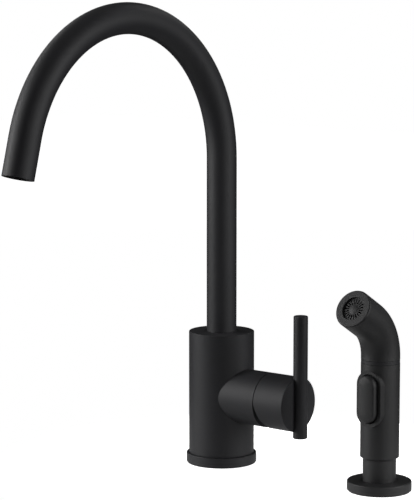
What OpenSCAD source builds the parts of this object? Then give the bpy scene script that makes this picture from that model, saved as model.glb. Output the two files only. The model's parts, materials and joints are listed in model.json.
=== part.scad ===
// Single-lever kitchen faucet with a gooseneck spout and a deck-mounted side spray.
// Millimetres. The origin is the centre of the faucet's base on the deck and +Z is up.
// The spout reaches towards -Y, the lever is on +X and the side spray stands beyond it.

/* [Deck and base] */
// Thickness of the deck that both clamps hold
deck_t = 20; // [4:1:34]
// Thickness of the gaskets that lie on the deck
gasket_t = 0.8; // [0.5:0.1:2]
// Outer diameter of the base ring
ring_d = 55.9; // [54.5:0.1:62]
// Height of the base ring's visible rim
ring_h = 7.4; // [4:0.1:12]
// Rounding of the base ring's top edge
ring_edge = 0.7; // [0.3:0.1:1.2]
// Height of the spigot that centres the body on the base ring
spigot_h = 4.8; // [3:0.1:8]
// Hairline seam between two visible pieces that don't move
seam = 0.2; // [0.1:0.05:0.4]
// Clearance of a piece that slips into another
slip = 0.1; // [0.05:0.01:0.2]
// Running clearance of a piece that turns or slides in another
run = 0.06; // [0.03:0.01:0.1]

/* [Body] */
// Outer diameter of the body
body_d = 52; // [50.5:0.1:54]
// Height of the body above its seam on the base ring
body_h = 97.9; // [94:0.1:120]
// Wall of the body
body_wall = 2; // [1.5:0.1:2.6]
// Thickness of the body's flat top
body_top_t = 4; // [2:0.1:6]
// Rounding of the body's top edge
body_edge = 0.6; // [0.2:0.1:1.2]
// Height of the valve's axis above the deck
valve_z = 56.2; // [54:0.1:58]
// Outer diameter of the valve stub and of the hub
stub_d = 43.3; // [42.9:0.1:45]
// Wall of the valve stub
stub_wall = 1.4; // [1:0.1:1.5]
// Distance from the body's axis to the stub's end face
stub_reach = 48.7; // [47.6:0.1:54]

/* [Waterway core] */
// Diameter of the core's trunk
trunk_d = 36; // [34.5:0.1:38]
// Thickness of the core's foot
core_foot_t = 8.8; // [8:0.1:12]
// Depth of the shank's seat in the core's foot
shank_seat = 5.8; // [4:0.1:6]
// Distance from the axis to each connection in the foot
port_ring = 7; // [6.9:0.05:7.2]
// Outer diameter of the connection tubes
tail_pipe_d = 9.52; // [9:0.02:9.7]
// Bore of the connection tubes
tail_pipe_bore = 7; // [5:0.1:7.6]
// Length of a connection tube below the shank's end
tail_pipe_free = 15; // [12:0.5:40]
// Diameter of the supply channels
channel_d = 4.8; // [3.5:0.1:5]
// Diameter of the bore under the spout
core_bore_d = 15; // [13.6:0.1:15.4]
// Height of the supply ports above the valve's axis
inlet_up = 5; // [4.6:0.1:5.4]
// Sideways distance of the supply ports from the valve's axis
inlet_side = 7.6; // [7.2:0.1:7.8]
// Depth of the mixed water port below the valve's axis
outlet_down = 6.5; // [6:0.1:7]
// Diameter of the mixed water port
outlet_d = 7.2; // [5:0.1:7.4]

/* [Mounting shank] */
// Diameter of the threaded shank
shank_d = 32; // [31:0.1:32.6]
// Bore of the threaded shank
shank_bore = 26; // [25.4:0.1:27]
// Length of the shank below the deck's top
shank_len = 60; // [50:0.5:80]
// Thread pitch of both shanks
thread_pitch = 2; // [1.5:0.1:3]
// Thread depth of both shanks
thread_depth = 0.7; // [0.4:0.05:0.9]
// Thickness of the rubber washer under the deck
seal_t = 2.5; // [1:0.1:4]
// Thickness of the steel washer under the deck
washer_t = 1.5; // [1:0.1:3]
// Diameter of the washers under the deck
washer_d = 52; // [46:0.5:60]
// Height of the mounting nut
nut_h = 10; // [6:0.5:12]
// Width of the mounting nut across its flats
nut_af = 46; // [42:0.5:50]

/* [Spout] */
// Outer diameter of the spout tube
tube_d = 23.8; // [23:0.1:24.6]
// Wall of the spout tube
tube_wall = 1.2; // [0.9:0.05:1.4]
// Height from the body's top to the centre of the arch
riser_h = 137.8; // [80:0.1:220]
// Radius of the arch, at the tube's centre line
arch_r = 111.75; // [60:0.25:150]
// Angle through which the tube bends
arch_sweep = 165; // [120:1:175]
// Straight length of the tube after the bend
tail_len = 29.2; // [22:0.1:60]
// Depth of the tube's end below the body's top
tube_seat = 15.3; // [14:0.1:18]
// Height of the collar under the tube
collar_h = 2.5; // [1.5:0.1:4]
// Thickness of the glide washer that carries the spout
glide_t = 1.5; // [1:0.1:3]
// Height of the bush in the body's top
bush_h = 8; // [5:0.1:10]
// Wall of the bush in the body's top
bush_wall = 1.4; // [1:0.1:2]
// Diameter of the adapter in the core
adapter_d = 22; // [21.6:0.1:22.4]
// Bore of the adapter
adapter_bore = 14; // [10:0.1:14.6]
// Length of the adapter inside the tube
adapter_plug = 18; // [10:0.5:30]
// Height of the adapter's seat in the core
socket_h = 16; // [15:0.1:18]
// Thickness of the O-ring cords
cord_d = 2.4; // [1.8:0.1:2.6]
// Thickness of the retaining clip
clip_t = 1.2; // [0.8:0.1:1.4]

/* [Outlet] */
// Depth of the aerator's end inside the tube's end
aerator_sunk = 1.2; // [0.5:0.1:3]
// Length of the aerator's housing
aerator_len = 14; // [12:0.1:18]
// Pitch of the holes in the aerator's screen
screen_pitch = 2.3; // [2:0.05:2.6]
// Diameter of the holes in the aerator's screen
screen_hole = 1.5; // [0.8:0.05:1.8]

/* [Diverter] */
// Travel of the diverter's plunger
diverter_stroke = 2; // [1:0.1:2.6]
// Diameter of the diverter's stem
diverter_stem = 4; // [3:0.1:4.6]
// Height of the diverter's cage
cage_h = 8.5; // [6:0.1:9]
// Outer diameter of the diverter's spring
diverter_coil_d = 8; // [7:0.1:9]

/* [Cartridge] */
// Diameter of the cartridge's chamber
chamber_d = 35.2; // [34.8:0.1:35.6]
// Wall of the cartridge's cup
cup_wall = 2.3; // [1.8:0.1:2.4]
// Distance from the stub's end face back to the cup's joint face
cup_deep = 32.3; // [31.9:0.1:33.2]
// Thickness of the cup's floor
cup_floor = 3.6; // [3.4:0.1:4]
// Thickness of the port seals
port_seal_t = 1; // [0.6:0.1:1.4]
// Thickness of the cartridge's base plate
base_plate_t = 3.5; // [2.5:0.1:4]
// Diameter of the fixed ceramic disc
fixed_disc_d = 27.6; // [27:0.1:27.7]
// Thickness of the fixed ceramic disc
fixed_disc_t = 3.5; // [2.5:0.1:4]
// Diameter of the moving ceramic disc
moving_disc_d = 22; // [21.6:0.1:22.4]
// Thickness of the moving ceramic disc
moving_disc_t = 3; // [2.6:0.1:3.4]
// Thickness of the carrier on the moving disc
carrier_t = 2.4; // [2:0.1:2.8]
// Diameter of the cartridge's turning sleeve
sleeve_d = 18; // [17:0.1:18.6]
// Distance from the stub's end face back to the lever's pivot
pivot_deep = 6.7; // [6.1:0.1:7.1]
// Diameter of the rocker pin
rocker_d = 3; // [2.5:0.1:3.4]
// Diameter of the ball at the lever stem's inner end
ball_d = 3.2; // [2.8:0.1:3.4]
// Radius of the bonnet's dome about the pivot
dome_r = 17; // [16.6:0.1:17.2]
// Thickness of the bonnet's dome
dome_t = 1.2; // [0.8:0.1:1.4]

/* [Lever] */
// Largest tilt of the lever, from off to full flow
tilt_max = 15; // [8:0.5:15.5]
// Gap between the stub and the hub
hub_gap = 0.7; // [0.6:0.05:1]
// Length of the hub
hub_len = 28.1; // [26:0.1:32]
// Rounding of the hub's outer edge
hub_edge = 0.6; // [0.2:0.1:1.5]
// Side of the lever stem's square
stem_side = 8; // [7:0.1:8.2]
// Distance from the hub's end face to the set screw's axis
screw_back = 15; // [14.6:0.1:15.2]
// Diameter of the set screw
screw_d = 5; // [4:0.1:5]
// Diameter of the lever rod
rod_d = 11.3; // [10:0.1:13]
// Length of the lever rod
rod_len = 96.5; // [80:0.5:140]
// Distance from the valve's axis down to the rod's lower end
rod_drop = 26.4; // [24:0.1:30]
// Distance from the hub's end face out to the rod's axis
rod_out = 1.7; // [1:0.1:2.5]
// Rounding of the rod's ends
rod_edge = 0.9; // [0.3:0.1:2]
// Diameter of the dowels that hold the rod
dowel_d = 3; // [2:0.1:3.5]
// Distance from the valve's axis to each dowel
dowel_up = 11; // [9:0.1:15]
// Distance that a dowel runs back from the rod's axis
dowel_deep = 9.8; // [8:0.1:11]
// Distance that a dowel runs on past the rod's axis
dowel_past = 1.8; // [0.5:0.1:3]

/* [Spray holder] */
// Distance of the spray's axis along X
spray_x = 153; // [140:1:260]
// Distance of the spray's axis along Y
spray_y = 2.3; // [-20:0.1:20]
// Outer diameter of the holder's flange
flange_d = 49.1; // [44:0.1:60]
// Height of the holder's flange above its gasket
flange_h = 7.1; // [5:0.1:10]
// Rounding of the holder's flange
flange_edge = 1; // [0.3:0.1:2]
// Diameter of the holder's threaded shank
holder_shank_d = 31; // [30.4:0.1:32]
// Length of the holder's shank below the deck's top
holder_len = 50; // [40:0.5:70]
// Height of the guide bush in the holder
guide_h = 6.2; // [4:0.1:6.6]
// Wall of the guide bush in the holder
guide_wall = 1.3; // [1:0.1:1.6]
// Height of the holder's nut
holder_nut_h = 8; // [6:0.5:10]
// Diameter of the holder's nut
holder_nut_d = 42; // [40:0.5:48]

/* [Spray handle] */
// Diameter of the neck
neck_d = 25.3; // [24.8:0.1:25.6]
// Depth of the neck's end below the deck's top
neck_depth = 14; // [11:0.1:20]
// Diameter of the grip and of the spray head
grip_d = 29.6; // [29.2:0.1:31]
// Height of the grip's lower end above the deck
grip_z = 26.4; // [24:0.1:27]
// Radius of the fillet under the grip
neck_fillet = 1.8; // [1:0.1:1.9]
// Wall of the grip and of the spray head
grip_wall = 2.4; // [2.2:0.1:2.5]
// Height of the seam between the grip and the joint ring
joint_z = 98.2; // [96.5:0.1:100]
// Height of the joint ring
joint_h = 2.8; // [1.5:0.1:4]
// Height at which the head starts to bend
bend_z = 103.3; // [102.2:0.1:110]
// Radius of the head's bend, at its centre line
bend_r = 33.8; // [28:0.1:50]
// Angle through which the head bends
bend_sweep = 60; // [30:1:75]
// Straight length of the head after its bend
head_len = 22.3; // [21.5:0.1:40]
// Rounding of the head's face
face_edge = 1.2; // [0.4:0.1:2]
// Thickness of the face's rim
face_t = 1.5; // [1.3:0.1:3.5]
// Diameter of the opening in the face
face_open = 18.4; // [16:0.1:20]
// Number of slots in the spray disc
slot_count = 20; // [12:1:24]
// Width of each slot in the spray disc
slot_w = 0.9; // [0.5:0.05:1.1]
// Diameter of the spray disc's screw head
disc_screw_d = 8; // [6:0.1:9]

/* [Spray valve and trigger] */
// Width of the trigger
trigger_w = 15.6; // [14.4:0.1:16.4]
// Height of the trigger's lower end above the deck
trigger_z0 = 54.5; // [51.5:0.1:55]
// Height of the trigger's upper end above the deck
trigger_z1 = 90.6; // [88.5:0.1:91]
// Distance from the spray's axis to the crest of the trigger's face
trigger_out = 20.4; // [19.8:0.1:20.8]
// Thickness of the trigger's pad
trigger_t = 7.4; // [6:0.1:7.7]
// Rounding of the trigger's face
trigger_edge = 2.2; // [0.5:0.1:2.6]
// Radius of the crown across the trigger's face
trigger_crown = 24; // [18:0.5:60]
// Gap round the trigger
trigger_gap = 0.6; // [0.4:0.05:0.7]
// Extra gap under the trigger, where it swings down
trigger_drop = 0.6; // [0.4:0.05:0.8]
// Wall of the raised boss round the trigger
boss_wall = 2.55; // [2.4:0.05:2.8]
// Distance from the spray's axis to the boss's face
boss_out = 15.05; // [14.95:0.05:17]
// Height of the trigger's pin above the deck
pin_z = 84; // [83:0.1:85]
// Distance from the spray's axis to the trigger's pin
pin_out = 9; // [8.8:0.1:9.4]
// Diameter of the trigger's pin
pin_d = 2.4; // [2:0.1:2.6]
// Height of the spray valve's axis above the deck
plunger_z = 62; // [61:0.1:63]
// Diameter of the spray valve's stem
plunger_d = 4; // [3.4:0.1:4.4]
// Diameter of the spray valve's chamber
valve_bore_d = 10; // [9.6:0.1:10.4]
// Outer diameter of the spray valve's spring
valve_coil_d = 7.2; // [6.6:0.1:8]
// Diameter of the spray's inner waterway
spray_core_d = 18.8; // [18.4:0.1:19.2]
// Diameter of the hose coupling's shaft
coupling_d = 14; // [13.4:0.1:14.6]
// Diameter of the hose coupling's hose end
hose_end_d = 13.2; // [12.8:0.1:13.3]
// Length of the hose coupling's hose end
hose_end_len = 14; // [10:0.5:18]

/* [Hidden] */
$fn = 96;

cut = 1;                 // how far a cutter runs past a face
matte_black = "#202022";
black_plastic = "#26272a";
rubber_black = "#141414";
brass = "#b08d4a";
copper = "#b5703f";
steel = "#b8bbbd";
acetal = "#e4e2da";
grey_acetal = "#8d9194";
ceramic = "#f2efe8";

// Radii
ring_r = ring_d / 2;
body_r = body_d / 2;
body_in = body_r - body_wall;
stub_r = stub_d / 2;
stub_in = stub_r - stub_wall;
trunk_r = trunk_d / 2;
shank_r = shank_d / 2;
tube_r = tube_d / 2;
tube_in = tube_r - tube_wall;
adapter_r = adapter_d / 2;
socket_r = adapter_r + run;
chamber_r = chamber_d / 2;
cup_r = chamber_r + cup_wall;
sleeve_r = sleeve_d / 2;
rod_r = rod_d / 2;
neck_r = neck_d / 2;
grip_r = grip_d / 2;
grip_in = grip_r - grip_wall;

// Heights in the body
shell_z = gasket_t + ring_h + seam;
body_top = shell_z + body_h;
spigot_top = gasket_t + ring_h + spigot_h;
core_z = spigot_top + seam;
port_z = core_z + shank_seat;
tube_z = body_top - tube_seat;
core_top = tube_z - collar_h - glide_t;
socket_z = core_top - socket_h;
clip_room = 7;
bore_top = socket_z - clip_room;
arch_z = body_top + riser_h;
port_roof = 2;
pipe_top = port_z + 5;
supply_top = pipe_top + 4;
spray_port_top = supply_top + port_roof + cut;
ledge_r = core_bore_d / 2 - 1.1;
bore_floor = supply_top + port_roof;
cage_z = bore_floor + 6;
seat_z = bore_top - 3.8;
supply_z = valve_z + inlet_up;
channel_at = [8, 8.9];
seal_z = -deck_t - seal_t;
nut_z = seal_z - washer_t - nut_h;

// Stations along the valve's axis
cup_x = stub_reach - cup_deep;
pivot_x = stub_reach - pivot_deep;
cup_z0 = cup_x + slip;
chamber_x = cup_x + cup_floor;
plate_x = chamber_x + port_seal_t;
fixed_x = plate_x + base_plate_t;
moving_x = fixed_x + fixed_disc_t + 0.02;
carrier_x = moving_x + moving_disc_t;
prong_x = carrier_x + 1;
sleeve_x = carrier_x + carrier_t + 1.6;
sleeve_flange_t = 3;
housing_top_x = sleeve_x + sleeve_flange_t + 0.2;
housing_shoulder_x = housing_top_x + 2.6;
housing_end_x = housing_shoulder_x + 4;
nut_end_x = housing_shoulder_x + 4.2;
cup_end_x = nut_end_x + 0.2;
sleeve_end_x = housing_end_x + 1.3;
housing_r = chamber_r - 0.3;
housing_in = fixed_disc_d / 2 + 0.2;
housing_neck_r = sleeve_r + 2.2;
bonnet_x = cup_end_x + seam;
hub_x = stub_reach + hub_gap;
hub_end_x = hub_x + hub_len;
rod_x = hub_end_x + rod_out;
ball_x = carrier_x + 1.9;
socket_end_x = rod_x - rod_r - 2.2;
stem_end_x = socket_end_x - seam;
screw_x = hub_end_x - screw_back;
wedge_angle = tilt_max + 0.4;
hub_cavity_r = dome_r + 0.7;

// Levels and radii in the spray
flange_top = gasket_t + flange_h;
holder_bore = neck_r + 0.45;
guide_r = neck_r + slip;
guide_z = flange_top - seam - guide_h;
hose_bore = 10.6;
ledge_z = -neck_depth - 0.2;
neck_in = neck_r - 1.65;
neck_floor_t = 4;
neck_floor = -neck_depth + neck_floor_t;
neck_top = grip_z - seam / 2;
joint_spigot_r = grip_in - slip;
neck_spigot_h = 6.6;
coupling_r = coupling_d / 2;
coupling_flange_z = neck_floor + 0.2;
coupling_flange_t = 3.3;
core_low = coupling_flange_z + coupling_flange_t + 0.3;
spigot_r = 5;
spigot_len = 6.3;
spray_core_r = spray_core_d / 2;
core_neck_z = grip_z - 2.4;
collar_z = grip_z + neck_spigot_h + seam;
flat_y = 6.2;
core_high = joint_z - 1.7;
head_z = joint_z + joint_h + seam;
head_spigot_in = spray_core_r + 1.4;
head_spigot_h = 5;
head_shoulder = 0.5;
way_r = 6;
way_in = 3.8;
way_seat = 6.5;
way_z = core_high - way_seat;
opening_w = trigger_w + 2 * trigger_gap;
opening_z0 = trigger_z0 - trigger_gap - trigger_drop;
opening_z1 = trigger_z1 + trigger_gap;
boss_w = opening_w + 2 * boss_wall;
pin_half = 10.3;
disc_t = 1.6;
disc_at = head_len - face_t - disc_t - slip;
plenum_h = 8;
plenum_floor = 2.6;
plenum_wall = 2.2;
plenum_z = disc_at - plenum_h;
way_end = plenum_z + plenum_floor;
post_r = 3;
bridge = 2;

// ---- Shapes that repeat ----

module ring(outer, inner, h) {
  difference() {
    cylinder(r = outer, h = h);
    translate([0, 0, -cut]) cylinder(r = inner, h = h + 2 * cut);
  }
}

// Half the section of a pad whose face is crowned and whose edge is rounded
module pad_section(r, h, edge, crown) {
  crown_at = h - crown;
  corner_at = crown_at + sqrt(pow(crown - edge, 2) - pow(r - edge, 2));
  meet = (r - edge) * crown / (crown - edge);
  square([r, corner_at]);
  intersection() {
    translate([0, crown_at]) circle(r = crown, $fn = 360);
    square([meet, h]);
  }
  intersection() {
    translate([r - edge, corner_at]) circle(r = edge, $fn = 48);
    square([r, h]);
  }
}

// A disc whose upper edge is rounded
module rounded_disc(r, h, edge) {
  rotate_extrude() {
    square([r - edge, h]);
    square([r, h - edge]);
    intersection() {
      translate([r - edge, h - edge]) circle(r = edge, $fn = 48);
      square([r, h]);
    }
  }
}

// Children lie along +X from station x on the valve's axis; their +X points down
module on_valve(x) {
  translate([x, 0, valve_z]) rotate([0, 90, 0]) children();
}

module at_spray(z = 0) {
  translate([spray_x, spray_y, z]) children();
}

// Children lie along +Y from distance y behind the spray's axis
module across_spray(y, z) {
  at_spray(z) translate([0, y, 0]) rotate([-90, 0, 0]) children();
}

// Children lie along the straight stretch that follows a bend; +Z is the way it runs
module after_bend(turn_r, sweep) {
  translate([0, -turn_r, 0]) rotate([90, 0, 90]) rotate([0, 0, sweep])
    translate([turn_r, 0, 0]) rotate([-90, 0, 0]) children();
}

// A bar that runs up to the origin, bends towards -Y there and goes straight on.
// The bend is a hair thinner, and its end sits a little way inside the straight stretch.
bend_hair = 0.02;
bend_lap = 0.5;
module bent_bar(r, lead, turn_r, sweep, tail) {
  translate([0, 0, -lead]) cylinder(r = r, h = lead);
  translate([0, -turn_r, 0]) rotate([90, 0, 90])
    rotate_extrude(angle = sweep) translate([turn_r, 0]) circle(r = r - bend_hair);
  after_bend(turn_r, sweep) translate([0, 0, -bend_lap]) cylinder(r = r, h = tail + bend_lap);
}

// A tall slab with round ends, from z0 to z1, w wide, running from y0 to y1
module stadium(w, z0, z1, y0, y1) {
  r = w / 2;
  translate([0, y0, 0]) rotate([-90, 0, 0]) {
    translate([0, -z0 - r, 0]) cylinder(r = r, h = y1 - y0);
    translate([0, -z1 + r, 0]) cylinder(r = r, h = y1 - y0);
    translate([-r, -z1 + r, 0]) cube([w, z1 - z0 - w, y1 - y0]);
  }
}

// Crests and roots of a thread drawn as rings
function ridges(z0, count, pitch, root, crest) = [
  for (i = [0 : count - 1])
    each [
      [root, z0 + i * pitch], [crest, z0 + (i + 0.3) * pitch],
      [crest, z0 + (i + 0.6) * pitch], [root, z0 + (i + 0.9) * pitch]
    ]
];

// A tube from low to high, threaded outside up to thread_top
module threaded_tube(r, bore, low, thread_top, high) {
  count = floor((thread_top - low) / thread_pitch);
  rotate_extrude() polygon([
    [bore, low],
    each ridges(low, count, thread_pitch, r - thread_depth, r),
    [r - thread_depth, low + count * thread_pitch], [r, low + (count + 0.3) * thread_pitch],
    [r, high], [bore, high]
  ]);
}

// A wound spring from z = 0 to h, as one swept tube
module coil(r, wire, turns, h) {
  sides = 6;
  steps = 16 * turns;
  rise = h - wire;
  points = [
    for (i = [0 : steps])
      let (a = 360 * turns * i / steps, z = wire / 2 + rise * i / steps)
        for (j = [0 : sides - 1])
          let (b = 360 * j / sides, d = r + wire / 2 * cos(b))
            [d * cos(a), d * sin(a), z + wire / 2 * sin(b)]
  ];
  walls = [
    for (i = [0 : steps - 1], j = [0 : sides - 1])
      let (k = (j + 1) % sides, a = i * sides, b = (i + 1) * sides)
        each [[a + j, b + j, b + k], [a + j, b + k, a + k]]
  ];
  last = steps * sides;
  caps = [
    for (j = [1 : sides - 2])
      each [[0, j, j + 1], [last, last + j + 1, last + j]]
  ];
  polyhedron(points = points, faces = concat(walls, caps));
}

// ---- Base and clamp ----

module base_gasket() {
  color(rubber_black) ring(ring_r - 0.6, shank_r + 2, gasket_t);
}

module base_ring() {
  color(matte_black) translate([0, 0, gasket_t]) difference() {
    union() {
      rounded_disc(ring_r, ring_h, ring_edge);
      cylinder(r = body_in - slip, h = ring_h + spigot_h);
    }
    translate([0, 0, -cut]) cylinder(r = shank_r + 2 * slip, h = ring_h + spigot_h + 2 * cut);
  }
}

module mounting_shank() {
  color(brass)
    threaded_tube(shank_r, shank_bore / 2, -shank_len, -thread_pitch, port_z - slip);
}

module deck_seal() {
  color(rubber_black) translate([0, 0, seal_z]) ring(washer_d / 2, shank_r + 2 * slip, seal_t);
}

module deck_washer() {
  color(steel) translate([0, 0, seal_z - washer_t])
    ring(washer_d / 2, shank_r + 2 * slip, washer_t);
}

module mounting_nut() {
  color(brass) translate([0, 0, nut_z]) difference() {
    cylinder(r = nut_af / sqrt(3), h = nut_h, $fn = 6);
    translate([0, 0, -cut]) cylinder(r = shank_r + slip, h = nut_h + 2 * cut);
  }
}

// ---- Body and waterway ----

module body_shell() {
  color(matte_black) difference() {
    union() {
      translate([0, 0, shell_z]) rounded_disc(body_r, body_h, body_edge);
      on_valve(0) cylinder(r = stub_r, h = stub_reach);
    }
    translate([0, 0, shell_z - cut]) cylinder(r = body_in, h = body_h - body_top_t + cut);
    translate([0, 0, shell_z]) cylinder(r = tube_r + run + bush_wall + slip, h = body_h + cut);
    on_valve(body_in / 2) cylinder(r = stub_in, h = stub_reach);
  }
}

// Places of the three connections: hot and cold at the front, the spray behind
module at_port(turn) {
  rotate([0, 0, turn]) translate([port_ring, 0, 0]) children();
}
hot_turn = -60;
cold_turn = 60;
spray_turn = 180;
pipe_r = tail_pipe_d / 2;
pipe_seat_r = pipe_r + slip;

module waterway_core() {
  color(brass) difference() {
    union() {
      translate([0, 0, core_z]) cylinder(r = body_in - 2 * slip, h = core_foot_t);
      translate([0, 0, core_z]) cylinder(r = trunk_r, h = core_top - core_z);
      on_valve(0) cylinder(r = trunk_r - 1, h = cup_x);
    }
    // the shank's seat and the three connections
    translate([0, 0, core_z - cut]) cylinder(r = shank_r + slip, h = shank_seat + cut);
    for (turn = [hot_turn, cold_turn])
      at_port(turn) translate([0, 0, port_z - cut])
        cylinder(r = pipe_seat_r, h = supply_top - port_z + cut);
    at_port(spray_turn) translate([0, 0, port_z - cut])
      cylinder(r = pipe_seat_r, h = spray_port_top - port_z + cut);
    // the bore under the spout: spring room, diverter, clip room and socket
    translate([0, 0, bore_floor]) cylinder(r = ledge_r, h = core_top - bore_floor);
    translate([0, 0, cage_z]) cylinder(r = core_bore_d / 2, h = core_top - cage_z);
    translate([0, 0, bore_top]) cylinder(r = clip_r + 2 * slip, h = clip_room);
    translate([0, 0, socket_z - cut]) cylinder(r = socket_r, h = socket_h + 2 * cut);
    // the supply channels, and the way back for the mixed water
    for (side = [-1, 1]) {
      translate([channel_at[0], side * channel_at[1], supply_top - 3])
        cylinder(d = channel_d, h = supply_z - supply_top + 3);
      on_valve(channel_at[0]) translate([-inlet_up, side * inlet_side, 0])
        cylinder(d = channel_d - 0.4, h = cup_x);
    }
    on_valve(0) translate([outlet_down, 0, 0]) cylinder(d = outlet_d, h = cup_x + cut);
    // the flat that the cartridge's cup stands on, and its screw holes
    on_valve(cup_x) cylinder(r = trunk_r + 2, h = trunk_r);
    for (side = [-1, 1])
      on_valve(cup_screw_x - 2 * slip) translate([cup_screw_down, side * cup_screw_side, 0])
        cylinder(r = cup_screw_r + slip, h = trunk_r);
  }
}
cup_screw_r = 1.7;
cup_screw_side = 11.6;
cup_screw_down = 6.5;
cup_screw_head_r = 3;
cup_screw_head_h = 2;
cup_screw_x = cup_x - 5.2;

// The three ports of the cartridge, as cutters from station x, h long
module ports(h, inlet, outlet) {
  for (side = [-1, 1]) translate([-inlet_up, side * inlet_side, 0]) cylinder(d = inlet, h = h);
  translate([outlet_down, 0, 0]) cylinder(d = outlet, h = h);
}

module cartridge_cup() {
  color(brass) on_valve(cup_z0) difference() {
    cylinder(r = cup_r, h = cup_end_x - cup_z0);
    translate([0, 0, chamber_x - cup_z0]) cylinder(r = chamber_r, h = cup_end_x);
    translate([0, 0, -cut]) ports(cup_floor + 2 * cut, channel_d - 0.4, outlet_d);
    for (side = [-1, 1]) translate([cup_screw_down, side * cup_screw_side, -cut]) {
      cylinder(r = cup_screw_r + slip, h = cup_floor + 2 * cut);
      translate([0, 0, chamber_x - cup_z0 - cup_screw_head_h])
        cylinder(r = cup_screw_head_r + slip, h = cup_screw_head_h + cut);
    }
  }
}

module cup_screws() {
  color(steel) for (side = [-1, 1])
    on_valve(0) translate([cup_screw_down, side * cup_screw_side, 0]) {
      translate([0, 0, cup_screw_x]) cylinder(r = cup_screw_r, h = chamber_x - cut - cup_screw_x);
      translate([0, 0, chamber_x - cup_screw_head_h])
        cylinder(r = cup_screw_head_r, h = cup_screw_head_h - slip);
    }
}

module tail_pipe(turn, r) {
  low = -shank_len - tail_pipe_free;
  at_port(turn) {
    translate([0, 0, low]) ring(r, tail_pipe_bore / 2, tail_pipe_free - 2);
    translate([0, 0, -shank_len - 2]) ring(r - 0.25, tail_pipe_bore / 2, shank_len + 2 + pipe_top);
  }
}

module hot_pipe() { color(copper) tail_pipe(hot_turn, pipe_r); }
module cold_pipe() { color(copper) tail_pipe(cold_turn, pipe_r); }
module spray_pipe() { color(copper) tail_pipe(spray_turn, pipe_r); }

// ---- Cartridge ----

module port_seals() {
  color(rubber_black) on_valve(chamber_x) {
    for (side = [-1, 1])
      translate([-inlet_up, side * inlet_side, 0]) ring(channel_d / 2 + 1, channel_d / 2, port_seal_t);
    translate([outlet_down, 0, 0]) ring(outlet_d / 2 + 1.2, outlet_d / 2, port_seal_t);
  }
}

module cartridge_base() {
  color(grey_acetal) on_valve(plate_x) difference() {
    cylinder(r = housing_r, h = base_plate_t);
    translate([0, 0, -cut]) ports(base_plate_t + 2 * cut, channel_d - 0.6, outlet_d);
  }
}

module fixed_disc() {
  color(ceramic) on_valve(fixed_x) difference() {
    cylinder(d = fixed_disc_d, h = fixed_disc_t);
    translate([0, 0, -cut]) ports(fixed_disc_t + 2 * cut, channel_d - 0.8, outlet_d);
  }
}

// The blind pocket in the moving disc joins the ports once it slides up
module moving_disc() {
  pocket_r = 9.2;
  pocket_top = inlet_up - channel_d / 2 - 0.2;
  color(ceramic) on_valve(moving_x) difference() {
    cylinder(d = moving_disc_d, h = moving_disc_t);
    intersection() {
      translate([0, 0, -cut]) cylinder(r = pocket_r, h = cut + 1.6);
      translate([-pocket_top, -pocket_r, -cut]) cube([2 * pocket_r, 2 * pocket_r, cut + 1.6]);
    }
  }
}

carrier_half = 8.2;
module disc_carrier() {
  color(grey_acetal) on_valve(carrier_x) difference() {
    intersection() {
      cylinder(d = moving_disc_d - 0.8, h = carrier_t);
      translate([-moving_disc_d, -carrier_half, -cut])
        cube([2 * moving_disc_d, 2 * carrier_half, carrier_t + 2 * cut]);
    }
    ball_room = ball_d / 2 + slip;
    translate([-ball_room, -ball_room, -cut])
      cube([2 * ball_room, 2 * ball_room, carrier_t + 2 * cut]);
  }
}

module cartridge_housing() {
  color(grey_acetal) difference() {
    union() {
      on_valve(fixed_x) cylinder(r = housing_r, h = housing_shoulder_x - fixed_x);
      on_valve(fixed_x) cylinder(r = housing_neck_r, h = housing_end_x - fixed_x);
    }
    on_valve(fixed_x - cut) cylinder(r = housing_in, h = housing_top_x - fixed_x + cut);
    on_valve(fixed_x) cylinder(r = sleeve_r + run, h = housing_end_x);
  }
}

module retaining_nut() {
  key_w = 4;
  key_deep = 2;
  color(brass) on_valve(housing_shoulder_x) difference() {
    ring(chamber_r - slip, housing_neck_r + 0.2, nut_end_x - housing_shoulder_x);
    for (turn = [0, 90]) rotate([0, 0, turn])
      translate([-chamber_r, -key_w / 2, nut_end_x - housing_shoulder_x - key_deep])
        cube([2 * chamber_r, key_w, key_deep + cut]);
  }
}

module turning_sleeve() {
  slot_h = 10.4;
  slot_across = 6.3;
  prong_h = 12;
  prong_in = carrier_half + 0.2;
  prong_out = 11.2;
  color(grey_acetal) difference() {
    union() {
      on_valve(sleeve_x) cylinder(r = housing_in - 0.6, h = sleeve_flange_t);
      on_valve(sleeve_x) cylinder(r = sleeve_r, h = sleeve_end_x - sleeve_x);
      for (side = [0, 180]) on_valve(0) rotate([0, 0, side])
        translate([-prong_h / 2, prong_in, prong_x])
          cube([prong_h, prong_out - prong_in, sleeve_x - prong_x + cut]);
    }
    on_valve(sleeve_x - cut) translate([-slot_h / 2, -slot_across / 2, 0])
      cube([slot_h, slot_across, sleeve_end_x]);
    translate([pivot_x, -sleeve_r - cut, valve_z]) rotate([-90, 0, 0])
      cylinder(d = rocker_d + run, h = sleeve_d + 2 * cut);
  }
}

module rocker_pin() {
  half = sleeve_r - 0.4;
  color(steel) translate([pivot_x, -half, valve_z]) rotate([-90, 0, 0])
    cylinder(d = rocker_d, h = 2 * half);
}

bonnet_window = sleeve_r + 1;
bonnet_foot_in = dome_r - dome_t - 0.6;
module bonnet() {
  low = bonnet_x - pivot_x;
  color(matte_black) on_valve(pivot_x) rotate_extrude() {
    translate([bonnet_foot_in, low])
      square([stub_in - slip - bonnet_foot_in, stub_reach - slip - bonnet_x]);
    intersection() {
      difference() {
        circle(r = dome_r);
        circle(r = dome_r - dome_t);
      }
      translate([bonnet_window, low]) square([dome_r, dome_r]);
    }
  }
}

// ---- Lever ----

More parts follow.
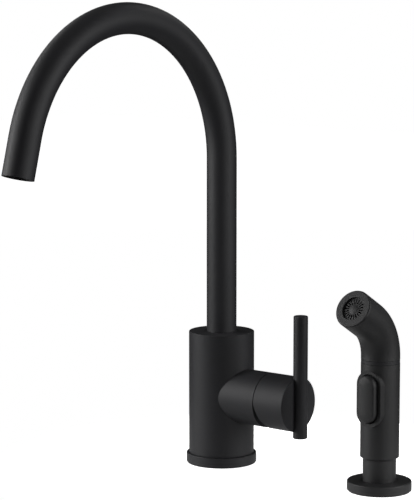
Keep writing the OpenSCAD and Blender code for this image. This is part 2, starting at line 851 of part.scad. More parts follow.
module lever_stem() {
  flat = 6;
  neck = 2.4;
  flat_x = ball_x + 1.6;
  square_x = sleeve_end_x + 1.9;
  color(steel) difference() {
    union() {
      on_valve(ball_x) sphere(d = ball_d);
      on_valve(ball_x) cylinder(d = neck, h = 3);
      on_valve(flat_x) translate([-flat / 2, -flat / 2, 0])
        cube([flat, flat, square_x - flat_x + cut]);
      on_valve(square_x) translate([-stem_side / 2, -stem_side / 2, 0])
        cube([stem_side, stem_side, stem_end_x - square_x]);
    }
    translate([pivot_x, -stem_side, valve_z]) rotate([-90, 0, 0])
      cylinder(d = rocker_d + 2 * run, h = 2 * stem_side);
  }
}

module lever_hub() {
  room = stem_side + 2 * slip;
  color(matte_black) difference() {
    on_valve(hub_x) rounded_disc(stub_r, hub_len, hub_edge);
    // the hollow that swings round the bonnet, and the wedge that lets the hub tilt
    translate([pivot_x, 0, valve_z]) sphere(r = hub_cavity_r);
    translate([hub_x, 0, valve_z]) rotate([0, -wedge_angle, 0])
      translate([-stub_d, -stub_d, -2 * stub_d]) cube([stub_d, 2 * stub_d, 2 * stub_d]);
    // seats of the stem, the rod, its dowels and the set screw
    on_valve(hub_x) translate([-room / 2, -room / 2, 0]) cube([room, room, socket_end_x - hub_x]);
    translate([rod_x, 0, valve_z - stub_d]) cylinder(r = rod_r + slip / 2, h = 2 * stub_d);
    for (side = [-1, 1])
      on_valve(rod_x - dowel_deep - 2 * slip) translate([side * dowel_up, 0, 0])
        cylinder(d = dowel_d + slip, h = dowel_deep + 2 * slip);
    translate([screw_x, 0, valve_z - stub_d]) cylinder(d = screw_d + 2 * slip, h = stub_d);
  }
}

module lever_rod() {
  color(matte_black) difference() {
    translate([rod_x, 0, valve_z - rod_drop]) rotate_extrude() {
      translate([0, rod_edge]) square([rod_r, rod_len - 2 * rod_edge]);
      square([rod_r - rod_edge, rod_len]);
      for (z = [rod_edge, rod_len - rod_edge]) intersection() {
        translate([rod_r - rod_edge, z]) circle(r = rod_edge, $fn = 48);
        square([rod_r, rod_len]);
      }
    }
    for (side = [-1, 1])
      on_valve(rod_x - rod_d) translate([side * dowel_up, 0, 0])
        cylinder(d = dowel_d + slip, h = rod_d + dowel_past + 2 * slip);
  }
}

module rod_dowels() {
  color(steel) for (side = [-1, 1])
    on_valve(rod_x - dowel_deep) translate([side * dowel_up, 0, 0])
      cylinder(d = dowel_d, h = dowel_deep + dowel_past);
}

module set_screw() {
  length = 8;
  key = 2.5;
  top = valve_z - stem_side / 2 - slip / 2;
  color(steel) translate([screw_x, 0, top - length]) difference() {
    cylinder(d = screw_d, h = length);
    translate([0, 0, -cut]) cylinder(d = key, h = 3 + cut, $fn = 6);
  }
}

module screw_plug() {
  length = 4;
  sunk = 0.7;
  color(rubber_black) translate([screw_x, 0, valve_z - stub_r + sunk]) difference() {
    cylinder(d = screw_d, h = length);
    translate([0, 0, 1]) cylinder(d = screw_d - 1.6, h = length);
  }
}

// ---- Spout ----

module spout_tube() {
  lead = arch_z - tube_z;
  color(matte_black) translate([0, 0, arch_z]) difference() {
    bent_bar(tube_r, lead, arch_r, arch_sweep, tail_len);
    bent_bar(tube_in, lead + cut, arch_r, arch_sweep, tail_len + cut);
  }
}

clip_z = socket_z - 2 * slip - clip_t;
clip_r = socket_r + 0.54;
adapter_z = clip_z - 2.6;
groove_h = cord_d + 0.6;
groove_r = adapter_r - cord_d;
o_ring_inset = 3.4;
o_ring_spacing = 6.2;
o_ring_low = socket_z + o_ring_inset;
o_ring_high = o_ring_low + o_ring_spacing;

module spout_adapter() {
  color(brass) difference() {
    union() {
      translate([0, 0, adapter_z]) cylinder(r = adapter_r, h = tube_z - collar_h - adapter_z + cut);
      translate([0, 0, tube_z - collar_h]) cylinder(r = tube_r, h = collar_h);
      translate([0, 0, tube_z - cut]) cylinder(r = tube_in - slip / 2, h = adapter_plug + cut);
    }
    translate([0, 0, adapter_z - cut])
      cylinder(d = adapter_bore, h = tube_z + adapter_plug - adapter_z + 2 * cut);
    for (z = [o_ring_low, o_ring_high])
      translate([0, 0, z]) ring(adapter_r + cut, groove_r, groove_h);
    translate([0, 0, clip_z - 0.1]) ring(adapter_r + cut, adapter_r - 1, clip_t + 0.15);
  }
}

module spout_o_rings() {
  color(rubber_black) for (z = [o_ring_low, o_ring_high])
    translate([0, 0, z + groove_h / 2]) rotate_extrude()
      translate([adapter_r + run / 2 - cord_d / 2, 0]) circle(d = cord_d, $fn = 48);
}

module spout_clip() {
  gap = 9;
  color(steel) translate([0, 0, clip_z]) difference() {
    ring(clip_r, adapter_r - 0.9, clip_t);
    translate([-gap / 2, 0, -cut]) cube([gap, 2 * adapter_r, clip_t + 2 * cut]);
  }
}

module top_bush() {
  color(black_plastic) translate([0, 0, body_top - seam - bush_h]) {
    ring(tube_r + run + bush_wall, tube_r + run, bush_h);
    ring(body_in - 4, tube_r + run, bush_h - body_top_t);
  }
}

module glide_washer() {
  color(acetal) translate([0, 0, core_top + slip / 2]) ring(tube_r + 1, adapter_r + 0.3, glide_t - slip);
}

module at_outlet() {
  translate([0, 0, arch_z]) after_bend(arch_r, arch_sweep) translate([0, 0, tail_len]) children();
}

aerator_r = tube_in - slip / 2;
aerator_in = aerator_r - 1.7;
module aerator_housing() {
  lip_t = 1.2;
  color(black_plastic) at_outlet() translate([0, 0, -aerator_sunk - aerator_len]) {
    ring(aerator_r, aerator_in, aerator_len - lip_t);
    translate([0, 0, aerator_len - lip_t]) ring(aerator_r, aerator_in - 0.8, lip_t);
  }
}

module aerator_screen() {
  screen_t = 1.6;
  rows = 3;
  screen_r = aerator_in - slip / 2;
  body_len = 7;
  at = -aerator_sunk - 1.2 - seam - screen_t;
  color(grey_acetal) at_outlet() translate([0, 0, at]) {
    difference() {
      cylinder(r = screen_r, h = screen_t);
      for (i = [-rows : rows], j = [-rows : rows])
        if (abs(i + j) <= rows)
          translate([screen_pitch * (i + j / 2), screen_pitch * j * sqrt(3) / 2, -cut])
            cylinder(d = screen_hole, h = screen_t + 2 * cut, $fn = 24);
    }
    translate([0, 0, -body_len]) ring(screen_r, screen_r - 1, body_len);
  }
}

module aerator_washer() {
  t = 1.8;
  color(rubber_black) at_outlet()
    translate([0, 0, -aerator_sunk - aerator_len - t - slip / 2]) ring(aerator_r, aerator_in - 1, t);
}

// ---- Diverter ----

diverter_r = core_bore_d / 2 - slip;
seal_top = seat_z - diverter_stroke - 0.1;
stem_foot = bore_floor + 0.6;
foot_h = 1.2;

module diverter_cage() {
  color(acetal) translate([0, 0, cage_z]) difference() {
    cylinder(r = diverter_r, h = cage_h);
    translate([0, 0, -cut]) cylinder(d = diverter_stem + 2 * run, h = cage_h + 2 * cut);
    for (turn = [0 : 60 : 300]) rotate([0, 0, turn])
      translate([4.9, 0, -cut]) cylinder(r = 1.1, h = cage_h + 2 * cut, $fn = 32);
  }
}

module diverter_seat() {
  color(acetal) {
    translate([0, 0, seat_z]) ring(diverter_r, 4.2, bore_top - seat_z);
    translate([0, 0, bore_top]) ring(diverter_r + 2.6, 4.2, 1.2);
  }
}

module diverter_plunger() {
  head_r = 5.4;
  color(grey_acetal) {
    translate([0, 0, stem_foot]) cylinder(d = diverter_stem, h = seal_top - stem_foot);
    translate([0, 0, stem_foot]) cylinder(d = diverter_coil_d - 0.6, h = foot_h);
    translate([0, 0, seal_top - 3.6]) cylinder(r = head_r, h = 3.6);
  }
}

module diverter_spring() {
  wire = 0.8;
  color(steel) translate([0, 0, stem_foot + foot_h + 0.02])
    coil((diverter_coil_d - wire) / 2, wire, 3, cage_z - stem_foot - foot_h - 0.04);
}

// ---- Spray holder ----

module holder_gasket() {
  color(rubber_black) at_spray() ring(flange_d / 2 - 0.8, holder_shank_d / 2 + 0.6, gasket_t);
}

module holder() {
  color(black_plastic) at_spray() difference() {
    union() {
      translate([0, 0, gasket_t]) rounded_disc(flange_d / 2, flange_h, flange_edge);
      threaded_tube(holder_shank_d / 2, hose_bore, -holder_len, -thread_pitch, gasket_t + cut);
    }
    translate([0, 0, ledge_z]) cylinder(r = holder_bore, h = flange_top - ledge_z + cut);
    translate([0, 0, ledge_z - cut]) cylinder(r = hose_bore, h = 2 * cut);
    translate([0, 0, guide_z - slip])
      cylinder(r = guide_r + guide_wall + slip, h = flange_top - guide_z + cut);
  }
}

module guide_bush() {
  color(black_plastic) at_spray(guide_z) ring(guide_r + guide_wall, guide_r, guide_h);
}

module holder_washer() {
  color(rubber_black) at_spray(-deck_t - seal_t)
    ring(holder_nut_d / 2 + 2, holder_shank_d / 2 + 2 * slip, seal_t);
}

module holder_nut() {
  wing = [6, 5];
  color(black_plastic) at_spray(-deck_t - seal_t - holder_nut_h) difference() {
    union() {
      cylinder(d = holder_nut_d, h = holder_nut_h);
      for (turn = [0 : 90 : 270]) rotate([0, 0, turn])
        translate([holder_nut_d / 2 - 2, -wing[1] / 2, 0]) cube([wing[0], wing[1], holder_nut_h]);
    }
    translate([0, 0, -cut]) cylinder(r = holder_shank_d / 2 + slip, h = holder_nut_h + 2 * cut);
  }
}

// ---- Side spray ----

module hose_coupling() {
  bore = 6;
  shaft_past_neck = 8;
  low = -neck_depth - shaft_past_neck;
  length = coupling_flange_z + coupling_flange_t + spigot_len - low + hose_end_len;
  color(brass) at_spray() difference() {
    union() {
      translate([0, 0, low]) cylinder(r = coupling_r, h = coupling_flange_z - low + cut);
      translate([0, 0, coupling_flange_z]) cylinder(r = neck_in - 1.4, h = coupling_flange_t);
      translate([0, 0, coupling_flange_z]) cylinder(r = spigot_r, h = coupling_flange_t + spigot_len);
      translate([0, 0, low - hose_end_len]) cylinder(d = hose_end_d, h = hose_end_len + cut);
    }
    translate([0, 0, low - hose_end_len - cut]) cylinder(d = bore, h = length + 2 * cut);
  }
}

module spray_neck() {
  low = -neck_depth;
  chamfer = 0.8;
  color(black_plastic) at_spray() difference() {
    rotate_extrude() {
      polygon([
        [0, low], [neck_r - chamfer, low], [neck_r, low + chamfer], [neck_r, neck_top], [0, neck_top]
      ]);
      difference() {
        translate([0, neck_top - neck_fillet - seam])
          square([neck_r + neck_fillet, neck_fillet + seam]);
        translate([neck_r + neck_fillet, neck_top - neck_fillet - seam]) circle(r = neck_fillet, $fn = 64);
      }
      square([joint_spigot_r, neck_top + neck_spigot_h]);
    }
    translate([0, 0, neck_floor])
      cylinder(r = neck_in, h = grip_z + neck_spigot_h - neck_floor + cut);
    translate([0, 0, low - cut]) cylinder(r = coupling_r + run, h = neck_floor_t + 2 * cut);
  }
}

module spray_grip() {
  color(black_plastic) at_spray() difference() {
    union() {
      translate([0, 0, grip_z]) cylinder(r = grip_r, h = joint_z - grip_z);
      stadium(boss_w, opening_z0 - boss_wall, opening_z1 + boss_wall, -boss_out, 0);
    }
    translate([0, 0, grip_z - cut]) cylinder(r = grip_in, h = joint_z - grip_z + 2 * cut);
    stadium(opening_w, opening_z0, opening_z1, -boss_out - cut, -grip_in / 2);
    translate([-pin_half - slip, -pin_out, pin_z]) rotate([0, 90, 0])
      cylinder(d = pin_d + run, h = 2 * (pin_half + slip));
  }
}

module joint_ring() {
  color(matte_black) at_spray(joint_z + seam) ring(grip_r - 0.1, joint_spigot_r + slip, joint_h - seam);
}

module spray_head() {
  spigot_len = bend_z - joint_z + head_spigot_h;
  lead = bend_z - head_z;
  color(black_plastic) at_spray(bend_z) difference() {
    union() {
      bent_bar(grip_r, lead, bend_r, bend_sweep, head_len - 2 * face_edge);
      after_bend(bend_r, bend_sweep) rounded_disc(grip_r, head_len, face_edge);
      translate([0, 0, -spigot_len]) cylinder(r = joint_spigot_r, h = spigot_len);
    }
    bent_bar(grip_in, lead - head_shoulder, bend_r, bend_sweep, head_len - face_t);
    after_bend(bend_r, bend_sweep) cylinder(d = face_open, h = head_len + cut);
    translate([0, 0, -spigot_len - cut]) cylinder(r = head_spigot_in, h = spigot_len + cut);
  }
}

module spray_core() {
  seat_d = 6.8;
  front = 4.6;
  way_y = 2.4;
  way_d = 3.8;
  feed_y = 4.4;
  feed_d = 4.6;
  socket_top = core_low + spigot_len + 0.6;
  color(grey_acetal) at_spray() difference() {
    union() {
      translate([0, 0, core_low]) cylinder(r = neck_in - 2 * slip, h = core_neck_z - core_low);
      translate([0, 0, core_low]) cylinder(r = spray_core_r, h = core_high - core_low);
      translate([0, 0, collar_z]) cylinder(r = grip_in - 2 * slip, h = 4);
      translate([0, 0, core_high - 3]) cylinder(r = spray_core_r + 1.3, h = 3);
    }
    // a flat that leaves room for the trigger
    translate([-grip_r, -grip_r - flat_y, opening_z0 - 4])
      cube([grip_d, grip_r, opening_z1 - opening_z0 + 6]);
    // socket for the coupling, feed, valve, way up and seat of the head's waterway
    translate([0, 0, core_low - cut]) cylinder(r = spigot_r + run, h = socket_top - core_low + cut);
    translate([0, feed_y, socket_top - cut]) cylinder(d = feed_d, h = plunger_z - socket_top + cut);
    translate([0, -way_y, plunger_z]) cylinder(d = way_d, h = core_high - plunger_z);
    translate([0, 0, way_z]) cylinder(r = way_r + slip / 2, h = core_high - way_z + cut);
    translate([0, -spray_core_r - cut, plunger_z]) rotate([-90, 0, 0])
      cylinder(d = plunger_d + 2 * run, h = spray_core_r + 2 * cut);
    translate([0, -front, plunger_z]) rotate([-90, 0, 0]) cylinder(d = seat_d, h = front + cut);
    translate([0, 0, plunger_z]) rotate([-90, 0, 0]) cylinder(d = valve_bore_d, h = spring_end_y);
  }
}

spring_y = 2.8;
spring_end_y = 7.6;

module valve_plunger() {
  tip = 11.2;
  head_d = 9;
  color(brass) {
    across_spray(-tip + plunger_d / 2, plunger_z) {
      cylinder(d = plunger_d, h = tip - plunger_d / 2 + spring_y);
      sphere(d = plunger_d);
    }
    across_spray(0.03, plunger_z) cylinder(d = head_d, h = spring_y - 0.03);
  }
}

module valve_spring() {
  wire = 0.8;
  color(steel) across_spray(spring_y + 0.02, plunger_z)
    coil((valve_coil_d - wire) / 2, wire, 3, spring_end_y - spring_y - 0.04);
}

module trigger() {
  lug_x = 3.2;
  lug_w = 3.2;
  lug_r = 2.4;
  rib_y = 11.4;
  r = trigger_w / 2;
  middle = trigger_z1 - trigger_z0 - trigger_w;
  back = -trigger_out + trigger_t;
  color(black_plastic) at_spray() difference() {
    union() {
      translate([0, back, 0]) rotate([90, 0, 0]) {
        for (end = [[trigger_z0 + r, 180], [trigger_z1 - r, 0]])
          translate([0, end[0], 0]) rotate([0, 0, end[1]]) rotate_extrude(angle = 180)
            pad_section(r, trigger_t, trigger_edge, trigger_crown);
        translate([0, trigger_z0 + r + middle, 0]) rotate([90, 0, 0]) linear_extrude(middle)
          for (side = [0, 1]) mirror([side, 0]) pad_section(r, trigger_t, trigger_edge, trigger_crown);
      }
      for (side = [-1, 1]) {
        translate([side * (lug_x + lug_w / 2) - lug_w / 2, -pin_out, pin_z]) rotate([0, 90, 0])
          cylinder(r = lug_r, h = lug_w);
        translate([side * (lug_x + lug_w / 2) - lug_w / 2, back - cut, pin_z - lug_r])
          cube([lug_w, -pin_out - back + cut, 2 * lug_r]);
      }
      translate([-plunger_d / 2, back - cut, plunger_z - plunger_d / 2])
        cube([plunger_d, -rib_y - back + cut, plunger_d]);
    }
    translate([-r, -pin_out, pin_z]) rotate([0, 90, 0]) cylinder(d = pin_d + 2 * run, h = trigger_w);
  }
}

module trigger_pin() {
  color(steel) at_spray(pin_z) translate([-pin_half, -pin_out, 0]) rotate([0, 90, 0])
    cylinder(d = pin_d, h = 2 * pin_half);
}

module head_waterway() {
  outer_r = grip_in - 3 * slip;
  lead = bend_z - way_z - slip;
  cup_t = plenum_h - slip;
  color(grey_acetal) at_spray(bend_z) {
    difference() {
      union() {
        bent_bar(way_r, lead, bend_r, bend_sweep, plenum_z);
        after_bend(bend_r, bend_sweep) translate([0, 0, plenum_z]) cylinder(r = outer_r, h = cup_t);
      }
      bent_bar(way_in, lead + cut, bend_r, bend_sweep, way_end);
      after_bend(bend_r, bend_sweep) translate([0, 0, way_end])
        cylinder(r = outer_r - plenum_wall, h = cup_t);
    }
    // a bridge with a post takes the disc's screw
    after_bend(bend_r, bend_sweep) translate([0, 0, plenum_z]) difference() {
      union() {
        cylinder(r = post_r, h = cup_t);
        translate([-outer_r + cut, -bridge / 2, plenum_floor - bridge / 2])
          cube([2 * outer_r - 2 * cut, bridge, bridge]);
      }
      translate([0, 0, plenum_floor]) cylinder(r = disc_screw_r + slip, h = cup_t);
    }
  }
}
disc_screw_r = 1.5;

module spray_disc() {
  land = 0.4;
  slot_in = disc_screw_d / 2 + land;
  slot_out = face_open / 2 - 0.9;
  color(black_plastic) at_spray(bend_z) after_bend(bend_r, bend_sweep) translate([0, 0, disc_at])
    difference() {
      cylinder(r = grip_in - 3 * slip, h = disc_t);
      for (i = [0 : slot_count - 1]) rotate([0, 0, 360 * i / slot_count])
        translate([slot_in, -slot_w / 2, -cut]) cube([slot_out - slot_in, slot_w, disc_t + 2 * cut]);
      translate([0, 0, -cut]) cylinder(r = disc_screw_r + slip / 2, h = disc_t + 2 * cut);
    }
}

module disc_screw() {
  dome_h = 0.6;
  dome_cut = (disc_screw_d * disc_screw_d / 4 + dome_h * dome_h) / (2 * dome_h);
  color(black_plastic) at_spray(bend_z) after_bend(bend_r, bend_sweep)
    translate([0, 0, disc_at + disc_t + 0.02]) {
      intersection() {
        cylinder(d = disc_screw_d, h = dome_h);
        translate([0, 0, dome_h - dome_cut]) sphere(r = dome_cut);
      }
      translate([0, 0, -disc_t - 4]) cylinder(r = disc_screw_r, h = disc_t + 4 + dome_h / 2);
    }
}

base_gasket();
base_ring();
body_shell();
waterway_core();
cartridge_cup();
cup_screws();
mounting_shank();
deck_seal();
deck_washer();
mounting_nut();
hot_pipe();
cold_pipe();
spray_pipe();
port_seals();
cartridge_base();
fixed_disc();
cartridge_housing();
retaining_nut();
bonnet();
top_bush();
glide_washer();
diverter_cage();
diverter_seat();
holder_gasket();
holder();
guide_bush();
holder_washer();
holder_nut();
spout_tube();
spout_adapter();
spout_o_rings();
spout_clip();
aerator_housing();
aerator_screen();
aerator_washer();
turning_sleeve();
rocker_pin();
moving_disc();
disc_carrier();
lever_stem();
lever_hub();
lever_rod();
rod_dowels();
set_screw();
screw_plug();
diverter_plunger();
diverter_spring();
hose_coupling();
spray_neck();
spray_grip();
joint_ring();
spray_head();
spray_core();
head_waterway();
spray_disc();
disc_screw();
trigger();
trigger_pin();
valve_plunger();
valve_spring();
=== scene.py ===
"""Looks for the matte black kitchen faucet and its side spray, in metres, in the part's own frame."""
import json
import math

import bpy
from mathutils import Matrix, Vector


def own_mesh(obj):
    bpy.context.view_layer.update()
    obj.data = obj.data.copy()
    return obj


MM = 0.001

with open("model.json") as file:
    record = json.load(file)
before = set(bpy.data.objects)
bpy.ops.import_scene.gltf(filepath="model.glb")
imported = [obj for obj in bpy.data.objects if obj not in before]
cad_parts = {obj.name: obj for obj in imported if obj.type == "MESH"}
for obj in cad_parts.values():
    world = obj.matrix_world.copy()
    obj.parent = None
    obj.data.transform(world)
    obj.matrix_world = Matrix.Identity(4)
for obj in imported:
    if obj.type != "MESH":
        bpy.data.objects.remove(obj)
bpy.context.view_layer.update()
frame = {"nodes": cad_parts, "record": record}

# ---- Finishes --------------------------------------------------------------

NOISE = {"Detail": 2.0, "Roughness": 0.55}   # two finer noises go into each, with about half the strength each time
SPREAD = {"From Min": 0.3, "From Max": 0.7}  # where nearly all of a noise's values lie
BAND_RATE = 20           # how far a wave's phase goes in one unit at scale 1

# How far apart the grains of each pattern are
PEEL = 0.9 * MM          # ripples in the baked powder
COAT_CLOUD = 18 * MM     # slow drift of the coat's shade
ETCH = 0.5 * MM          # grit of the etched mould, coarser than real so that it shows
ABS_CLOUD = 25 * MM
RUBBER_DUST = 4 * MM
TOOL_MARKS = 3.77 * MM   # rings from the lathe, also coarser than real
BRASS_TARNISH = 9 * MM
COPPER_PATCH = 11 * MM
DRAWING_LINES = 1.2 * MM
ACETAL_CLOUD = 6 * MM
ALUMINA_CLOUD = 5 * MM

COAT_GLOSS = 0.25        # a binder full of matting silica mirrors about half as much as clear resin
ABS_GLOSS = 0.28         # an etched moulding has no silica in it, so it mirrors a little more
RUBBER_GLOSS = 0.3
ALUMINA_IOR = 1.7


def linear(hex_code):
    """An sRGB hex colour as linear RGBA."""
    channels = [int(hex_code[i:i + 2], 16) / 255 for i in (1, 3, 5)]
    return [c / 12.92 if c <= 0.04045 else ((c + 0.055) / 1.055) ** 2.4 for c in channels] + [1.0]


def add(tree, kind, settings=None, links=None):
    """A node with its settings, and its inputs linked or filled in."""
    node = tree.nodes.new(kind)
    for name, value in (settings or {}).items():
        setattr(node, name, value)
    for name, value in (links or {}).items():
        socket = node.inputs[name]
        if isinstance(value, bpy.types.NodeSocket):
            tree.links.new(value, socket)
        else:
            socket.default_value = value
    return node


def material(name, finish, *tones):
    """A material that closes on the shader that finish makes in its tree."""
    made = bpy.data.materials.new(name)
    made.use_nodes = True
    made.node_tree.nodes.clear()
    shader = finish(made.node_tree, *tones)
    add(made.node_tree, "ShaderNodeOutputMaterial", links={"Surface": shader.outputs[0]})
    return made


def mottled(tree, tone, dark, light, polish, smooth, rough):
    """A shader's colour, which follows the pattern tone, and its roughness, which follows the pattern polish."""
    colour = add(tree, "ShaderNodeMix", {"data_type": "RGBA"},
                 {"Factor": tone.outputs[0], "A": linear(dark), "B": linear(light)})
    roughness = add(tree, "ShaderNodeMapRange",
                    links={"Value": polish.outputs[0], **SPREAD, "To Min": smooth, "To Max": rough})
    return {"Base Color": colour.outputs["Result"], "Roughness": roughness.outputs[0]}


def powder_coat(tree):
    """Polyester powder coat on brass: sprayed as dust and baked, so it's matte with a fine orange peel."""
    place = add(tree, "ShaderNodeTexCoord").outputs["Object"]
    peel = add(tree, "ShaderNodeTexNoise", links={"Vector": place, "Scale": 1 / PEEL, **NOISE})
    cloud = add(tree, "ShaderNodeTexNoise", links={"Vector": place, "Scale": 1 / COAT_CLOUD, **NOISE})
    bump = add(tree, "ShaderNodeBump", links={"Strength": 0.25, "Distance": 0.02 * MM, "Height": peel.outputs[0]})
    return add(tree, "ShaderNodeBsdfPrincipled", links={
        **mottled(tree, cloud, "#141416", "#18181b", peel, 0.57, 0.63),
        "Specular IOR Level": COAT_GLOSS,
        "Normal": bump.outputs[0],
    })


def satin_abs(tree):
    """Moulded ABS from an etched mould: even, dark, and a little smoother than the coat."""
    place = add(tree, "ShaderNodeTexCoord").outputs["Object"]
    etch = add(tree, "ShaderNodeTexNoise", links={"Vector": place, "Scale": 1 / ETCH, **NOISE})
    cloud = add(tree, "ShaderNodeTexNoise", links={"Vector": place, "Scale": 1 / ABS_CLOUD, **NOISE})
    bump = add(tree, "ShaderNodeBump", links={"Strength": 0.2, "Distance": 0.015 * MM, "Height": etch.outputs[0]})
    return add(tree, "ShaderNodeBsdfPrincipled", links={
        **mottled(tree, cloud, "#151516", "#181819", etch, 0.55, 0.61),
        "Specular IOR Level": ABS_GLOSS,
        "Normal": bump.outputs[0],
    })


def black_rubber(tree):
    """Moulded EPDM rubber: dull, faintly dusty."""
    place = add(tree, "ShaderNodeTexCoord").outputs["Object"]
    dust = add(tree, "ShaderNodeTexNoise", links={"Vector": place, "Scale": 1 / RUBBER_DUST, **NOISE})
    return add(tree, "ShaderNodeBsdfPrincipled", links={
        **mottled(tree, dust, "#151515", "#222221", dust, 0.7, 0.85),
        "Specular IOR Level": RUBBER_GLOSS,
    })


def turned_brass(tree):
    """Free-cutting brass straight from the lathe: yellow, with rings of tool marks."""
    place = add(tree, "ShaderNodeTexCoord").outputs["Object"]
    marks = add(tree, "ShaderNodeTexWave", {"wave_type": "BANDS", "bands_direction": "Z"}, {
        "Vector": place, "Scale": math.tau / BAND_RATE / TOOL_MARKS, "Distortion": 1.5, "Detail": 2.0})
    tarnish = add(tree, "ShaderNodeTexNoise", links={"Vector": place, "Scale": 1 / BRASS_TARNISH, **NOISE})
    bump = add(tree, "ShaderNodeBump", links={"Strength": 0.15, "Distance": 0.01 * MM, "Height": marks.outputs[0]})
    return add(tree, "ShaderNodeBsdfPrincipled", links={
        **mottled(tree, tarnish, "#b08a45", "#cfae62", tarnish, 0.24, 0.36),
        "Metallic": 1.0,
        "Normal": bump.outputs[0],
    })


def drawn_copper(tree):
    """Soft copper tube: warm, smooth, with darker patches from handling."""
    place = add(tree, "ShaderNodeTexCoord").outputs["Object"]
    patch = add(tree, "ShaderNodeTexNoise", links={"Vector": place, "Scale": 1 / COPPER_PATCH, **NOISE})
    return add(tree, "ShaderNodeBsdfPrincipled", links={
        **mottled(tree, patch, "#a3593a", "#d08a63", patch, 0.22, 0.38),
        "Metallic": 1.0,
    })


def stainless_steel(tree):
    """304 stainless, cold drawn or turned: pale grey with fine drawing lines."""
    place = add(tree, "ShaderNodeTexCoord").outputs["Object"]
    lines = add(tree, "ShaderNodeTexNoise", links={"Vector": place, "Scale": 1 / DRAWING_LINES, **NOISE})
    return add(tree, "ShaderNodeBsdfPrincipled", links={
        **mottled(tree, lines, "#a9abad", "#c9cbcc", lines, 0.25, 0.34),
        "Metallic": 1.0,
    })


def acetal(tree, dark, light):
    """Moulded acetal: waxy, with a soft sheen."""
    place = add(tree, "ShaderNodeTexCoord").outputs["Object"]
    cloud = add(tree, "ShaderNodeTexNoise", links={"Vector": place, "Scale": 1 / ACETAL_CLOUD, **NOISE})
    return add(tree, "ShaderNodeBsdfPrincipled", links=mottled(tree, cloud, dark, light, cloud, 0.34, 0.42))


def lapped_ceramic(tree):
    """Alumina disc, lapped flat: white and nearly a mirror on its face."""
    place = add(tree, "ShaderNodeTexCoord").outputs["Object"]
    cloud = add(tree, "ShaderNodeTexNoise", links={"Vector": place, "Scale": 1 / ALUMINA_CLOUD, **NOISE})
    return add(tree, "ShaderNodeBsdfPrincipled", links={
        **mottled(tree, cloud, "#ebe8df", "#f6f4ee", cloud, 0.12, 0.2),
        "IOR": ALUMINA_IOR,
    })


finishes = {
    "matte_black_metal": material("matte_black_powder_coat", powder_coat),
    "matte_black_plastic": material("satin_black_abs", satin_abs),
    "black_rubber": material("black_epdm_rubber", black_rubber),
    "brass": material("turned_brass", turned_brass),
    "copper": material("drawn_copper", drawn_copper),
    "stainless": material("stainless_steel", stainless_steel),
    "white_acetal": material("white_acetal", acetal, "#e2dfd6", "#efede6"),
    "grey_acetal": material("grey_acetal", acetal, "#7f8386", "#95999b"),
    "white_ceramic": material("lapped_alumina", lapped_ceramic),
}

for subpart in frame["record"]["subparts"]:
    piece = frame["nodes"][subpart["node"]]
    piece.data.materials.clear()
    piece.data.materials.append(finishes[subpart["material_slot"]])

# ---- Springs ---------------------------------------------------------------


def pressed_by(spring):
    """Gives the spring a mesh of its own."""
    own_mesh(frame["nodes"][spring])


pressed_by("diverter_spring")
pressed_by("valve_spring")

# ---- Deck, light and camera ------------------------------------------------

WHITE = 1.0          # what the camera sees where there is nothing
FILL = 0.1           # how strongly the surroundings light the part
DECK_SIZE = 6.0
DECK_PAINTED_SHADE = 0.86    # the deck's own light close to the part, where its shadow falls: dimmed there as painted shade round the faucet, which also lets the real shadow show
SHADE_NEAR = 0.10    # from here outwards the painted shade fades and the deck brightens
SHADE_FAR = 0.20     # and from here on it's full white

EYE = Vector((1.054583, -1.284214, 0.388542))
TURN = math.radians(39.794)  # the camera's turn to the left from looking along +Y
TIP = math.radians(7.457)    # how far it looks down
LENS = 151.99                # in millimetres, as is the sensor's width
SENSOR = 36
MIDDLE = Vector((0.04, -0.05, 0.17))  # the set's middle, where the lamps aim

TENT_OPENING = 0.21  # white deck that the part stands on, before the black cloth starts
TENT_WALL = 1.6
TENT_TOP = 2.9
TENT_SIDES = 64
CLOTH_UP = 1 * MM    # how far above the deck the cloth lies
TENT_HOLE = 1 * MM   # and the radius of what it leaves open overhead

ROUND = 1.15         # how far out the lamps stand round the faucet
ABOVE = 0.01         # the overhead lamp stands a hair off the axis, so that it has a way up
STRIP = (0.35, 1.2)  # width and height of the tall strip softboxes
SMALL = (0.35, 0.5)  # and of the small ones at the back
LAMPS = [            # name, degrees round from the camera, distance out, height over the middle, size, watts
    ("left_softbox", -92, ROUND, 0.2, STRIP, 20.5),
    ("left_front_softbox", -75, ROUND, 0.2, STRIP, 5.7),
    ("right_softbox", 72, ROUND, 0.1, STRIP, 14.8),
    ("right_front_softbox", 38, ROUND, 0.1, STRIP, 7.0),
    ("overhead_softbox", 0, ABOVE, 1.3, STRIP, 1.3),
    ("back_left_softbox", -140, ROUND, 0.9, SMALL, 2.5),
    ("back_right_softbox", 140, ROUND, 0.9, SMALL, 2.5),
]


def who_looks(tree):
    """1 for the camera's own rays, and 1 for rays from a surface that mirrors or refracts."""
    path = add(tree, "ShaderNodeLightPath").outputs
    mirrored = add(tree, "ShaderNodeMath", {"operation": "MAXIMUM"},
                   {0: path["Is Glossy Ray"], 1: path["Is Transmission Ray"]})
    return path["Is Camera Ray"], mirrored.outputs[0]


def white_surroundings():
    """White to whatever looks at it, and only a weak fill as a light."""
    world = bpy.data.worlds.new("white_room")
    bpy.context.scene.world = world
    world.use_nodes = True
    tree = world.node_tree
    tree.nodes.clear()
    by_camera, mirrored = who_looks(tree)
    seen = add(tree, "ShaderNodeMath", {"operation": "MAXIMUM"}, {0: by_camera, 1: mirrored})
    strength = add(tree, "ShaderNodeMapRange", links={"Value": seen.outputs[0], "To Min": FILL, "To Max": WHITE})
    light = add(tree, "ShaderNodeBackground", links={"Color": (1, 1, 1, 1), "Strength": strength.outputs[0]})
    add(tree, "ShaderNodeOutputWorld", links={"Surface": light.outputs[0]})


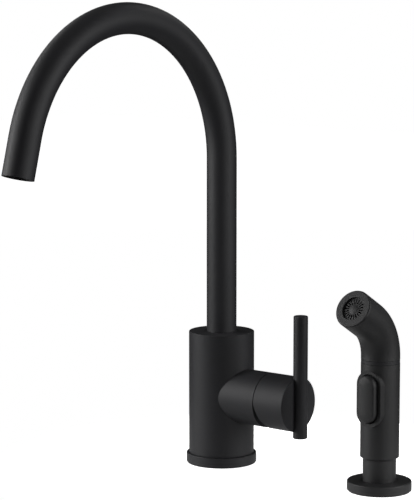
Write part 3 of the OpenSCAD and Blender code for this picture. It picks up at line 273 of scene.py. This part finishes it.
def deck_paint(tree):
    """White paint with a light of its own, so that only a faint shadow shows close to the faucet; that light is
    dimmed close to the faucet as painted shade, which the coat mirrors too.
    """
    place = add(tree, "ShaderNodeTexCoord").outputs["Object"]
    away = add(tree, "ShaderNodeVectorMath", {"operation": "LENGTH"}, {"Vector": place}).outputs["Value"]
    # painted shade: the deck's own light is dimmer close to the faucet and rises to full white further out, for the
    # camera and for mirrored rays
    level = add(tree, "ShaderNodeMapRange", links={
        "Value": away, "From Min": SHADE_NEAR, "From Max": SHADE_FAR, "To Min": DECK_PAINTED_SHADE, "To Max": WHITE})
    paint = add(tree, "ShaderNodeBsdfDiffuse", links={"Color": linear("#f4f4f4")})
    glow = add(tree, "ShaderNodeEmission", links={"Color": (1, 1, 1, 1), "Strength": level.outputs[0]})
    both = add(tree, "ShaderNodeAddShader", links={0: paint.outputs[0], 1: glow.outputs[0]})
    by_camera, mirrored = who_looks(tree)
    looked_at = add(tree, "ShaderNodeMixShader",
                    links={0: by_camera, 1: paint.outputs[0], 2: both.outputs[0]})
    return add(tree, "ShaderNodeMixShader",
               links={0: mirrored, 1: looked_at.outputs[0], 2: glow.outputs[0]})


def white_deck():
    """The sink deck that the faucet and the spray stand on."""
    bpy.ops.mesh.primitive_plane_add(size=DECK_SIZE, location=(MIDDLE.x, 0, 0))
    deck = bpy.context.object
    deck.name = "deck"
    deck.data.materials.append(material("white_deck", deck_paint))


def duvetyne(tree):
    """Napped black cotton, as stage cloth: it gives back almost no light."""
    return add(tree, "ShaderNodeBsdfDiffuse", links={"Color": linear("#050505")})


def black_tent():
    """Black cloth round the set, out of the camera's sight, so that the coat mirrors the lamps and little else."""
    profile = [(TENT_OPENING, CLOTH_UP), (TENT_WALL, CLOTH_UP), (TENT_WALL, TENT_TOP), (TENT_HOLE, TENT_TOP)]
    corners = []
    faces = []
    for side in range(TENT_SIDES):
        angle = math.tau * side / TENT_SIDES
        corners += [(MIDDLE.x + r * math.cos(angle), r * math.sin(angle), z) for r, z in profile]
        here = side * len(profile)
        there = (side + 1) % TENT_SIDES * len(profile)
        faces += [(here + k, there + k, there + k + 1, here + k + 1) for k in range(len(profile) - 1)]
    mesh = bpy.data.meshes.new("black_tent")
    mesh.from_pydata(corners, [], faces)
    tent = bpy.data.objects.new("black_tent", mesh)
    bpy.context.scene.collection.objects.link(tent)
    mesh.materials.append(material("black_duvetyne", duvetyne))
    tent.visible_camera = False


def softbox(name, round_from_camera, distance, up, size, watts):
    """A lamp at that many degrees round the faucet from the camera, to its right, and aimed at the middle."""
    towards = Vector((math.sin(TURN), -math.cos(TURN), 0))
    across = Vector((math.cos(TURN), math.sin(TURN), 0))
    angle = math.radians(round_from_camera)
    out = (towards * math.cos(angle) + across * math.sin(angle)) * distance
    data = bpy.data.lights.new(name, "AREA")
    data.shape = "RECTANGLE"
    data.size, data.size_y = size
    data.energy = watts
    lamp = bpy.data.objects.new(name, data)
    bpy.context.scene.collection.objects.link(lamp)
    lamp.location = MIDDLE + out + Vector((0, 0, up))
    lamp.rotation_euler = (MIDDLE - lamp.location).to_track_quat("-Z", "Y").to_euler()
    lamp.visible_camera = False


white_surroundings()
white_deck()
black_tent()
for lamp in LAMPS:
    softbox(*lamp)

camera_data = bpy.data.cameras.new("camera")
camera_data.lens = LENS
camera_data.sensor_width = SENSOR
camera = bpy.data.objects.new("camera", camera_data)
bpy.context.scene.collection.objects.link(camera)
camera.location = EYE
camera.rotation_euler = (math.pi / 2 - TIP, 0, TURN)
bpy.context.scene.camera = camera
bpy.context.scene.view_settings.view_transform = "Standard"
